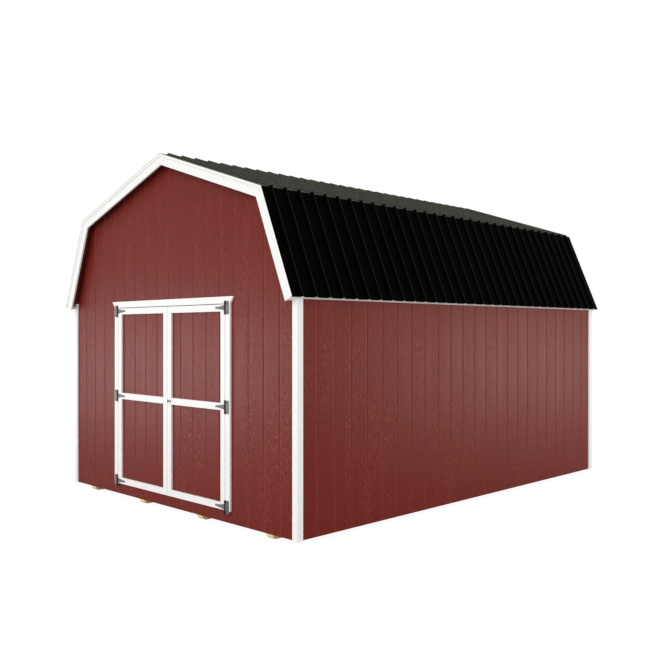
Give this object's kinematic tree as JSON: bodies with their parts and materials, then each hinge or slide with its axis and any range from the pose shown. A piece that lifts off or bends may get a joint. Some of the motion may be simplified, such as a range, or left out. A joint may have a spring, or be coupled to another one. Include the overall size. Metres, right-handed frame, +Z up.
{
  "type": "lofted barn shed",
  "caption": "Gambrel-roofed timber storage barn on skids, with grooved siding, ribbed metal roof and a pair of side-hung doors in the front gable.",
  "frame": {"origin": "on the ground under the middle of the roof", "axes": "+Z up; +Y from the front gable with the doors to the back wall; +X to the right of a person facing the doors"},
  "size_m": [3.8334, 5.126, 3.476],
  "materials": {
    "red_siding": "red painted wood-grain siding panel, satin",
    "white_trim": "white painted trim board, satin",
    "roof_metal": "black painted ribbed steel sheet",
    "hinge_steel": "grey coated steel",
    "treated_timber": "pressure-treated timber, rough sawn",
    "framing_timber": "planed softwood framing",
    "sheathing": "plywood and strand board sheathing"
  },
  "bodies": {
    "barn": {"skid_1": "treated_timber", "skid_2": "treated_timber", "skid_3": "treated_timber", "skid_4": "treated_timber", "floor_frame": "treated_timber", "floor_deck": "sheathing", "wall_frame_left": "framing_timber", "wall_frame_right": "framing_timber", "wall_frame_front_left": "framing_timber", "wall_frame_front_right": "framing_timber", "gable_frame_front": "framing_timber", "wall_frame_back": "framing_timber", "siding_front_left": "red_siding", "siding_front_right": "red_siding", "siding_front_sill": "red_siding", "siding_front_gable": "red_siding", "siding_back": "red_siding", "siding_left": "red_siding", "siding_right": "red_siding", "rafter_1": "framing_timber", "rafter_2": "framing_timber", "rafter_3": "framing_timber", "rafter_4": "framing_timber", "rafter_5": "framing_timber", "rafter_6": "framing_timber", "rafter_7": "framing_timber", "roof_deck_lower_left": "sheathing", "roof_deck_lower_right": "sheathing", "roof_deck_upper_left": "sheathing", "roof_deck_upper_right": "sheathing", "roof_sheet_lower_left": "roof_metal", "roof_sheet_lower_right": "roof_metal", "roof_sheet_upper_left": "roof_metal", "roof_sheet_upper_right": "roof_metal", "eave_board_left": "white_trim", "eave_board_right": "white_trim", "rake_front_left": "white_trim", "rake_front_right": "white_trim", "rake_back_left": "white_trim", "rake_back_right": "white_trim", "corner_trim_front_left": "white_trim", "corner_trim_front_right": "white_trim", "corner_trim_back_left": "white_trim", "corner_trim_back_right": "white_trim", "door_jamb_left": "white_trim", "door_jamb_right": "white_trim", "door_header": "white_trim"},
    "door_left": {"door_panel_left": "red_siding", "door_trim_left": "white_trim", "door_frame_left": "framing_timber", "hinge_strap_left_bottom": "hinge_steel", "hinge_strap_left_middle": "hinge_steel", "hinge_strap_left_top": "hinge_steel"},
    "door_right": {"door_panel_right": "red_siding", "door_trim_right": "white_trim", "door_frame_right": "framing_timber", "hinge_strap_right_bottom": "hinge_steel", "hinge_strap_right_middle": "hinge_steel", "hinge_strap_right_top": "hinge_steel"},
    "latch": {"latch": "hinge_steel"}
  },
  "joints": [
    {"name": "door_left_hinge", "type": "hinge", "parent": "barn", "child": "door_left", "pos_m": [-0.921, -2.4834, 1.0725], "axis": [0, 0, -1], "range_deg": [0, 165]},
    {"name": "door_right_hinge", "type": "hinge", "parent": "barn", "child": "door_right", "pos_m": [0.921, -2.4834, 1.0725], "axis": [0, 0, 1], "range_deg": [0, 165]},
    {"name": "latch_turn", "type": "hinge", "parent": "door_right", "child": "latch", "pos_m": [0.05, -2.4834, 1.0745], "axis": [0, 1, 0], "range_deg": [0, 90]}
  ]
}
